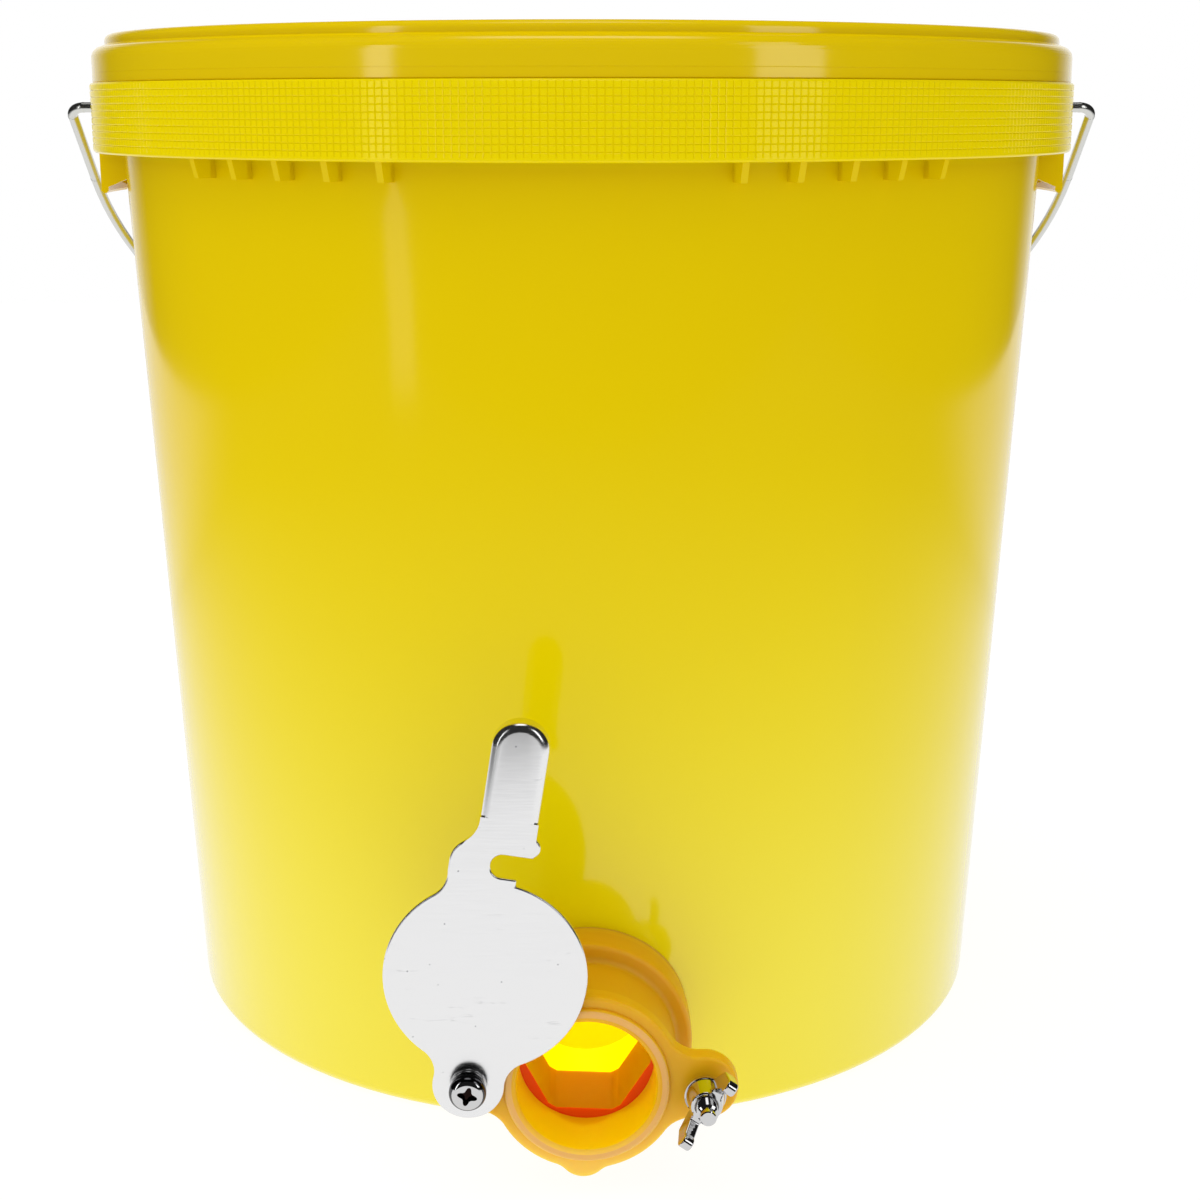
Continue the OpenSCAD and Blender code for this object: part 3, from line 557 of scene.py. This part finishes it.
smears = add(tree, "ShaderNodeTexNoise", inputs={"Vector": wiped.outputs[0], **smears})
spans = {"Value": smears.outputs["Fac"], "From Min": 0.62, "From Max": 0.74, "To Max": 0.5}
smeared = add(tree, "ShaderNodeMapRange", inputs=spans)
tone = paint("#EBEBEC")
for mask, colour in ((spotted, "#A8A8AC"), (smeared, "#BDBDC0")):
    pair = {0: mask.outputs[0], FIRST: tone, SECOND: paint(colour)}
    tone = add(tree, "ShaderNodeMix", COLOURS, pair).outputs[MIXED]
tree.links.new(tone, shader.inputs["Base Color"])
spans = {"From Min": 0.35, "From Max": 0.8, "To Min": 0.16, "To Max": 0.24}
dull = add(tree, "ShaderNodeMapRange", inputs={"Value": hairs.outputs["Fac"], **spans})
tree.links.new(dull.outputs[0], shader.inputs["Roughness"])
shader.inputs["Metallic"].default_value = 1.0
print("plate:", plate_finish.name)

# %% [markdown]
# ### Bright steel
#
# The fasteners are cold-headed steel, polished until they mirror the room. The handle is drawn wire,
# plated with zinc, so it is softer and a little warmer. Both have the same make-up: a metal whose
# roughness drifts over small patches. The screw is the same steel with two zones of its own: painted
# shade in its recess, and a painted dark reflection on its side.

# %% Bright steel
FASTENER_GREY = "#CFCFD0"
RECESS_OUT, RECESS_R = (190.0, 192.05), 3.2
RECESS_AT = (SCREW_X * MM, -191.2 * MM, SCREW_Z * MM)
SIDE_OUT = 191.5


def bright_steel(name, colour, smooth, rough, grain_mm):
    """Metal whose roughness drifts between two values over small patches."""
    finish, tree, where, shader = new_finish(name)
    patch = {"Vector": where, "Scale": 1 / (grain_mm * MM), "Detail": 3.0}
    patch = add(tree, "ShaderNodeTexNoise", inputs=patch).outputs["Fac"]
    dull = {"Value": patch, "To Min": smooth, "To Max": rough}
    dull = add(tree, "ShaderNodeMapRange", inputs=dull)
    tree.links.new(dull.outputs[0], shader.inputs["Roughness"])
    bump = {"Height": patch, "Strength": 0.05, "Distance": 0.1 * MM}
    bump = add(tree, "ShaderNodeBump", inputs=bump)
    tree.links.new(bump.outputs[0], shader.inputs["Normal"])
    shader.inputs["Base Color"].default_value = paint(colour)
    shader.inputs["Metallic"].default_value = 1.0
    return finish, tree, where, shader


fastener_finish = bright_steel("polished_fastener_steel", FASTENER_GREY, 0.03, 0.1, 2.5)[0]
wire_finish = bright_steel("zinc_plated_wire", "#D6D6D2", 0.1, 0.3, 1.5)[0]
screw_painted_shade_finish, tree, where, shader = bright_steel(
    "polished_screw_steel_painted_shade", FASTENER_GREY, 0.03, 0.1, 2.5
)
y = add(tree, "ShaderNodeSeparateXYZ", inputs={0: where}).outputs["Y"]
inner = add(tree, "ShaderNodeVectorMath", {"operation": "DISTANCE"}, {0: where, 1: RECESS_AT})
side = zone(tree, [(y, "GREATER_THAN", -SIDE_OUT)])
recess = zone(
    tree,
    [
        (y, "GREATER_THAN", -RECESS_OUT[1]),
        (y, "LESS_THAN", -RECESS_OUT[0]),
        (inner.outputs["Value"], "LESS_THAN", RECESS_R),
    ],
)
# Painted shade: the side is painted as a dark reflection, and the recess is painted dark.
tone = paint(FASTENER_GREY)
for mask, colour in ((side, "#565658"), (recess, "#1E1412")):
    pair = {0: mask, FIRST: tone, SECOND: paint(colour)}
    tone = add(tree, "ShaderNodeMix", COLOURS, pair).outputs[MIXED]
tree.links.new(tone, shader.inputs["Base Color"])
dress(fastener_finish, "pivot_nut", "clamp_washer")
dress(wire_finish, "bail_wire")
print("steel:", fastener_finish.name, wire_finish.name, screw_painted_shade_finish.name)

# %% [markdown]
# ### Grip, seal and gaskets
#
# The grip is a moulded tube, the lid's seal is foam, and the gaskets are silicone. All three are
# matt. Their colour has a soft grain, and the same grain stands for their pores in the bump, from
# shallow on the grip to deep on the foam.

# %% Grip, seal and gaskets


def matt_moulding(name, main, deep, rough, grain_mm, pores):
    """A matt surface with a grain in its colour and pores in its bump."""
    finish, tree, where, shader = new_finish(name)
    grain = {"Vector": where, "Scale": 1 / (grain_mm * MM), "Detail": 3.0}
    grain = add(tree, "ShaderNodeTexNoise", inputs=grain).outputs["Fac"]
    pair = {0: grain, FIRST: paint(main), SECOND: paint(deep)}
    tone = add(tree, "ShaderNodeMix", COLOURS, pair)
    tree.links.new(tone.outputs[MIXED], shader.inputs["Base Color"])
    bump = {"Height": grain, "Strength": pores, "Distance": 0.2 * MM}
    bump = add(tree, "ShaderNodeBump", inputs=bump)
    tree.links.new(bump.outputs[0], shader.inputs["Normal"])
    shader.inputs["Roughness"].default_value = rough
    return finish


grip_finish = matt_moulding("moulded_polyethylene_grip", "#E9E6DC", "#DFDBCF", 0.45, 0.9, 0.1)
seal_finish = matt_moulding("foamed_seal", "#EDE8D8", "#DCD6C4", 0.85, 0.6, 0.4)
gasket_finish = matt_moulding("amber_silicone", "#D9A428", "#CE961C", 0.5, 0.8, 0.2)
dress(grip_finish, "bail_grip")
dress(seal_finish, "lid_seal")
dress(gasket_finish, "gate_outer_gasket", "gate_inner_gasket")
print("soft parts:", grip_finish.name, seal_finish.name, gasket_finish.name)

# %% [markdown]
# ## Softer edges on the gate and its steel
#
# A moulding never has a knife edge, and even stamped steel is tumbled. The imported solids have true
# faces but sharp corners, so copies of them get a small bevel. A copy is first welded, because a
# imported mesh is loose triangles, and its flat faces are joined, so that the bevel meets whole faces.
# A bevel on every edge would tear the faces that run round the outlet, so a rule may pick the edges
# that get it. Bevel weights carry that choice to the modifier.

# %% A bevelled copy
WELD, FLAT_ANGLE, SHARP_ANGLE = 0.002 * MM, radians(0.6), radians(35)


def softened(node, body, finish, width_mm, steps, picked=None):
    """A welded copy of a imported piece, its picked sharp edges rounded, which stands for it."""
    mesh = nodes[node].data.copy()
    mesh.name = f"{node}_soft"
    shape = bmesh.new()
    shape.from_mesh(mesh)
    for edge in shape.edges:
        edge.smooth = True
    bmesh.ops.remove_doubles(shape, verts=shape.verts, dist=WELD)
    bmesh.ops.dissolve_limit(
        shape, angle_limit=FLAT_ANGLE, verts=shape.verts, edges=shape.edges, delimit=set()
    )
    weight = shape.edges.layers.float.new("bevel_weight_edge")
    for edge in shape.edges:
        sharp = edge.calc_face_angle(0) > SHARP_ANGLE
        chosen = picked is None or all(picked(*(corner.co / MM)) for corner in edge.verts)
        edge[weight] = 1.0 if sharp and chosen else 0.0
        edge.smooth = chosen or not sharp
    shape.to_mesh(mesh)
    shape.free()
    if "custom_normal" in mesh.attributes:
        mesh.attributes.remove(mesh.attributes["custom_normal"])
    mesh.materials.clear()
    mesh.materials.append(finish)
    for face in mesh.polygons:
        face.use_smooth = True
    made = bpy.data.objects.new(f"{node}_soft", mesh)
    scene.collection.objects.link(made)
    bevel = made.modifiers.new("edge", "BEVEL")
    bevel.width = width_mm * MM
    bevel.segments = steps
    bevel.limit_method = "WEIGHT"
    bevel.harden_normals = True
    bevel.use_clamp_overlap = False
    view = bpy.context.evaluated_depsgraph_get()
    finished = bpy.data.meshes.new_from_object(made.evaluated_get(view))
    made.modifiers.clear()
    made.data = finished
    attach(made, body)
    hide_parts(node)
    print(made.name, "faces:", len(finished.polygons))


print("copies are welded within", round(WELD / MM, 3), "mm")

# %% [markdown]
# ### Which edges are rounded
#
# On the gate they are the lip's, the flange's and the collar's front edges, which the photograph
# shows as soft light lines. On the plate they are all edges below the lever, whose rim is turned
# back and already round. The small steel pieces are rounded all over. Each rule looks at a corner,
# in millimetres, and the lip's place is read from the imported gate's box.

# %% Edges of the gate, the plate and the small steel
LIP_FRONT = -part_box("gate_body")[0].y / MM
LIP_H, COLLAR_FRONT, NEAR = 1.5, 157.656, 0.05
FLANGE_R, COLLAR_R = 26.9, 31
LEVER_RIM_Z = 112


def gate_edges(x, y, z):
    """Corners of the lip, of the flange's front and of the collar's front."""
    ring = hypot(x, z - GATE_Z)
    lip = abs(y + LIP_FRONT) < NEAR
    flange = abs(y + LIP_FRONT - LIP_H) < NEAR and ring > FLANGE_R
    return lip or flange or (abs(y + COLLAR_FRONT) < NEAR and ring > COLLAR_R)


def plate_edges(x, y, z):
    """Corners of the plate below the lever's turned rim."""
    return z < LEVER_RIM_Z


softened("gate_body", "bucket", gate_finish, 1.1, 4, gate_edges)
softened("gate_plate", "gate_plate", plate_finish, 0.5, 4, plate_edges)
softened("wing_nut", "wing_nut", fastener_finish, 0.5, 3)
softened("pivot_washer", "bucket", fastener_finish, 0.25, 3)
softened("pivot_spring_washer", "bucket", screw_painted_shade_finish, 0.3, 3)

# %% [markdown]
# ## Turned pieces
#
# A screw, a bolt and a bead are all rings of points joined into a skin, as a lathe would cut them.
# Blender's Screw modifier could spin a profile too, but here a ring's radius may change with the
# angle, which also gives the bolt's hexagon and the star-shaped recess of the screw.

# %% A skin over rings


def turned(name, rings, place, steps, looped=False):
    """A skin over rings, each a radius (or a rule for it) and a distance along the axis, in mm."""
    shape = bmesh.new()
    rows = []
    for radius, along in rings:
        row = []
        for k in range(steps):
            angle = 2 * pi * k / steps
            r = radius(angle) if callable(radius) else radius
            spot = place(r * cos(angle), r * sin(angle), along)
            row.append(shape.verts.new([v * MM for v in spot]))
        rows.append(row)
    pairs = list(zip(rows, rows[1:])) + ([(rows[-1], rows[0])] if looped else [])
    for one, other in pairs:
        for k in range(steps):
            n = (k + 1) % steps
            shape.faces.new((one[k], one[n], other[n], other[k]))
    if not looped:
        shape.faces.new(rows[0])
        shape.faces.new(rows[-1])
    bmesh.ops.recalc_face_normals(shape, faces=shape.faces)
    for face in shape.faces:
        face.smooth = True
    mesh = bpy.data.meshes.new(name)
    shape.to_mesh(mesh)
    shape.free()
    mesh.set_sharp_from_angle(angle=SHARP_ANGLE)
    made = bpy.data.objects.new(name, mesh)
    scene.collection.objects.link(made)
    print(name, "faces:", len(mesh.polygons))
    return made


print("turned edges stay crisp above", round(SHARP_ANGLE * 180 / pi), "degrees")

# %% [markdown]
# ### The pivot screw
#
# The plate turns on a domed M5 screw with a cross recess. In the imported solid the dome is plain.
# The rings here climb the dome and then go down into the recess, whose outline is a circle that
# swells four times in a turn. It is turned by 15 degrees, as in the photograph.

# %% Pivot screw
SCREW_STEPS, SCREW_SEAT = 72, 188.6
STAR_CORE, STAR_ARM, STAR_TURN = 1.6, 1.3, radians(15)


def star(size):
    """The outline of the screw's recess."""
    return lambda angle: size * (STAR_CORE + STAR_ARM * abs(cos(2 * (angle + STAR_TURN))) ** 3)


# Radius, and height above the seat of the head.
screw_rings = [
    (2.4, -16.9),
    (2.4, 0.0),
    (5.25, 0.0),
    (5.3, 0.2),
    (5.3, 1.4),
    (5.16, 2.05),
    (4.83, 2.55),
    (4.4, 2.9),
    (3.9, 3.25),
    (3.3, 3.46),
    (star(1.0), 3.47),
    (star(0.97), 3.35),
    (star(0.6), 1.9),
]
screw = turned(
    "pivot_screw_turned",
    [(radius, SCREW_SEAT + height) for radius, height in screw_rings],
    lambda x, z, out: (SCREW_X + x, -out, SCREW_Z + z),
    SCREW_STEPS,
)
screw.data.materials.append(screw_painted_shade_finish)
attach(screw, "bucket")
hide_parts("pivot_screw")

# %% [markdown]
# ### The clamp bolt
#
# An M6 bolt comes through the right lug with its head sunk in the back, and the wing nut runs on it.
# Its thread is cut as rings half a pitch apart, in turn deep and proud: a true helix wouldn't show
# at this size. The end is stepped down, so that the nut starts easily.

# %% Clamp bolt
BOLT_STEPS, BOLT_FLATS = 48, 9.9
HEAD_BACK, HEAD_FRONT, SHANK_R, SHANK_END = 175.7, 179.5, 2.95, 184.3
THREAD_FROM, THREAD_ROWS, HALF_PITCH = 184.5, 26, 0.5
THREAD_ROOT, THREAD_DEPTH = 2.62, 0.36
BOLT_END = [(2.3, 197.5), (2.3, 199.6), (2.0, 199.9)]


def hexagon_across(flats):
    """The radius of a hexagon at an angle."""
    return lambda angle: flats / 2 / cos((angle + pi / 6) % (pi / 3) - pi / 6)


head = hexagon_across(BOLT_FLATS)
bolt_rings = [(head, HEAD_BACK), (head, HEAD_FRONT), (SHANK_R, HEAD_FRONT), (SHANK_R, SHANK_END)]
for row in range(THREAD_ROWS):
    crest = THREAD_DEPTH * (row % 2)
    bolt_rings.append((THREAD_ROOT + crest, THREAD_FROM + HALF_PITCH * row))
bolt = turned(
    "clamp_bolt_turned",
    bolt_rings + BOLT_END,
    lambda x, z, out: (BOLT_X + x, -out, BOLT_Z + z),
    BOLT_STEPS,
)
bolt.data.materials.append(fastener_finish)
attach(bolt, "bucket")
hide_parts("clamp_bolt")

# %% [markdown]
# ### Moulded edges of the band and the lid
#
# In the photograph a thin bright line runs along the band's top and foot, because both edges are
# rounded, and the lid's skirt comes right down to the band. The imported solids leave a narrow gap
# there for the lid to seat. Three thin rings, which follow the lid and the bucket, close it. Their
# sizes come from the boxes of lid and bucket, counted down from the rim, the top of its box.

# %% Band and lid edges
LID_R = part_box("lid")[1].x / MM
RING_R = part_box("bucket")[1].y / MM
RIM_H, BAND_H = 9, 21.5
BAND_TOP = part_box("bucket")[1].z / MM - RIM_H
BAND_FOOT = BAND_TOP - BAND_H
EDGE_STEPS, BEAD_STEP = 256, 30
SKIRT_R, SKIRT_IN = LID_R + 0.03, LID_R - 1.4
FOOT_BEAD = (RING_R - 0.55, BAND_FOOT + 0.9, 0.85)
TOP_BEAD = (RING_R - 0.4, BAND_TOP - 0.4, 0.45)

skirt_rings = [
    (SKIRT_IN, BAND_TOP + 0.1),
    (LID_R - 0.25, BAND_TOP + 0.1),
    (SKIRT_R, BAND_TOP + 0.4),
    (SKIRT_R, BAND_TOP + 3.0),
    (SKIRT_IN, BAND_TOP + 3.0),
]
foot_rings, top_rings = [
    [
        (middle + size * cos(radians(a)), height + size * sin(radians(a)))
        for a in range(0, 360, BEAD_STEP)
    ]
    for middle, height, size in (FOOT_BEAD, TOP_BEAD)
]
for name, rings, body, finish, slot in (
    ("lid_skirt_edge", skirt_rings, "lid", lid_finish, "lid_plastic"),
    ("band_foot_bead", foot_rings, "bucket", bucket_finish, "bucket_plastic"),
    ("band_top_bead", top_rings, "bucket", bucket_finish, "bucket_plastic"),
):
    edge_ring = turned(name, rings, lambda x, y, up: (x, y, up), EDGE_STEPS, looped=True)
    edge_ring.data.materials.append(finish)
    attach(edge_ring, body)

# %% [markdown]
# ## The knurled band
#
# Ten rings run round the band, and fine upright grooves cut them into thousands of small square pads
# that help wet hands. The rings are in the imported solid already. Pads could be modelled one by one,
# but they follow a rule, so Geometry Nodes places one pad per cell: points are numbered, and a
# point's number gives its ring and its place on it. A pad is a low block, narrower in front, whose
# hidden back face is left off.

# %% The sizes of the pads
RINGS = 10
RING_PITCH = (BAND_H - 1) / RINGS
PAD_OUT = 0.14
pad_sizes = {
    "Radius": ("NodeSocketFloat", (RING_R + PAD_OUT) * MM),
    "Top": ("NodeSocketFloat", (BAND_TOP - 0.3 - RING_PITCH / 2) * MM),
    "Ring pitch": ("NodeSocketFloat", RING_PITCH * MM),
    "Rings": ("NodeSocketInt", RINGS),
    "Pads in a ring": ("NodeSocketInt", 480),
    "Pad width": ("NodeSocketFloat", 2.12 * MM),
    "Pad height": ("NodeSocketFloat", 2.04 * MM),
    "Pad depth": ("NodeSocketFloat", 0.24 * MM),
}
knurl = bpy.data.node_groups.new("band_pads", "GeometryNodeTree")
knurl.interface.new_socket(name="Mesh", in_out="OUTPUT", socket_type="NodeSocketGeometry")
pad_sockets = {}
for name, (kind, value) in pad_sizes.items():
    socket = knurl.interface.new_socket(name=name, in_out="INPUT", socket_type=kind)
    socket.default_value = value
    pad_sockets[name] = socket.identifier
given = add(knurl, "NodeGroupInput").outputs
print("inputs of the pads:", list(pad_sockets))

# %% [markdown]
# ### Where each pad goes
#
# The rest of dividing a point's number by the pads in a ring says how far round it is, and the whole
# part says which ring it is on. Sine and cosine turn that into a place.

# %% Points on the band
number = add(knurl, "GeometryNodeInputIndex").outputs[0]
pads = given["Pads in a ring"]
count = add(knurl, "ShaderNodeMath", {"operation": "MULTIPLY"}, {0: given["Rings"], 1: pads})
points = add(knurl, "GeometryNodePoints", inputs={"Count": count.outputs[0]})
along = add(knurl, "ShaderNodeMath", {"operation": "MODULO"}, {0: number, 1: pads})
turn = add(knurl, "ShaderNodeMath", {"operation": "DIVIDE"}, {0: along.outputs[0], 1: pads})
turn = add(knurl, "ShaderNodeMath", {"operation": "MULTIPLY"}, {0: turn.outputs[0], 1: 2 * pi})
turn = turn.outputs[0]
place = {}
for side, operation in ((0, "COSINE"), (1, "SINE")):
    share = add(knurl, "ShaderNodeMath", {"operation": operation}, {0: turn})
    reach = {0: share.outputs[0], 1: given["Radius"]}
    place[side] = add(knurl, "ShaderNodeMath", {"operation": "MULTIPLY"}, reach).outputs[0]
drop = number
for operation, other in (("DIVIDE", pads), ("FLOOR", 0.0), ("MULTIPLY", given["Ring pitch"])):
    drop = add(knurl, "ShaderNodeMath", {"operation": operation}, {0: drop, 1: other}).outputs[0]
level = add(knurl, "ShaderNodeMath", {"operation": "SUBTRACT"}, {0: given["Top"], 1: drop})
place[2] = level.outputs[0]
spot = add(knurl, "ShaderNodeCombineXYZ", inputs=place)
points = add(
    knurl,
    "GeometryNodeSetPosition",
    inputs={"Geometry": points.outputs[0], "Position": spot.outputs[0]},
)
print("nodes that place the pads:", len(knurl.nodes))

# %% [markdown]
# ### One pad
#
# The pad starts as a block of the named sizes. Its outer corners are drawn in, which makes it
# narrower in front, and the face that looks inwards is deleted.

# %% A tapered pad
PAD_NARROWS = 0.72

size ={0: given["Pad depth"], 1: given["Pad width"], 2: given["Pad height"]}
size = add(knurl, "ShaderNodeCombineXYZ", inputs=size)
pad = add(knurl, "GeometryNodeMeshCube", inputs={"Size": size.outputs[0]})
corner = add(knurl, "GeometryNodeInputPosition").outputs[0]
outward = add(knurl, "ShaderNodeSeparateXYZ", inputs={0: corner}).outputs[0]
outer = add(knurl, "ShaderNodeMath", {"operation": "GREATER_THAN"}, {0: outward, 1: 0.0})
spans = {"Value": outer.outputs[0], "To Min": 1.0, "To Max": PAD_NARROWS}
taper = add(knurl, "ShaderNodeMapRange", inputs=spans).outputs[0]
taper = add(knurl, "ShaderNodeCombineXYZ", inputs={0: 1.0, 1: taper, 2: taper})
drawn = {0: corner, 1: taper.outputs[0]}
drawn = add(knurl, "ShaderNodeVectorMath", {"operation": "MULTIPLY"}, drawn)
pad = add(
    knurl,
    "GeometryNodeSetPosition",
    inputs={"Geometry": pad.outputs[0], "Position": drawn.outputs[0]},
)
facing = add(knurl, "GeometryNodeInputNormal").outputs[0]
facing = add(knurl, "ShaderNodeSeparateXYZ", inputs={0: facing}).outputs[0]
hidden = add(knurl, "FunctionNodeCompare", {"operation": "LESS_THAN"}, {0: facing, 1: -0.9})
pad = add(
    knurl,
    "GeometryNodeDeleteGeometry",
    {"domain": "FACE"},
    {"Geometry": pad.outputs[0], "Selection": hidden.outputs[0]},
)
print("nodes so far:", len(knurl.nodes))

# %% [markdown]
# ### All pads as one mesh
#
# Each pad is turned to face outwards. Instances are made real and get their finish in the tree,
# because the export drops instances, and the result becomes a plain mesh.

# %% Pads on the band
spin = add(knurl, "ShaderNodeCombineXYZ", inputs={2: turn})
placed = add(
    knurl,
    "GeometryNodeInstanceOnPoints",
    inputs={
        "Points": points.outputs[0],
        "Instance": pad.outputs[0],
        "Rotation": spin.outputs[0],
    },
)
real = add(knurl, "GeometryNodeRealizeInstances", inputs={0: placed.outputs[0]})
coloured = add(
    knurl,
    "GeometryNodeSetMaterial",
    inputs={"Geometry": real.outputs[0], "Material": bucket_finish},
)
add(knurl, "NodeGroupOutput", inputs={0: coloured.outputs[0]})
band_pads = plain_object("band_pads", [], [])
grower = band_pads.modifiers.new("pads", "NODES")
grower.node_group = knurl
for name, (kind, value) in pad_sizes.items():
    grower[pad_sockets[name]] = value
view = bpy.context.evaluated_depsgraph_get()
pads_mesh = bpy.data.meshes.new_from_object(band_pads.evaluated_get(view))
band_pads.modifiers.clear()
band_pads.data = pads_mesh
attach(band_pads, "bucket")
print("pads:", len(pads_mesh.polygons), "faces")

# %% [markdown]
# ## Finish
#
# Blender adds looks, not size. The last step sets the view transform to Standard.

# %% View transform
scene.view_settings.view_transform = "Standard"
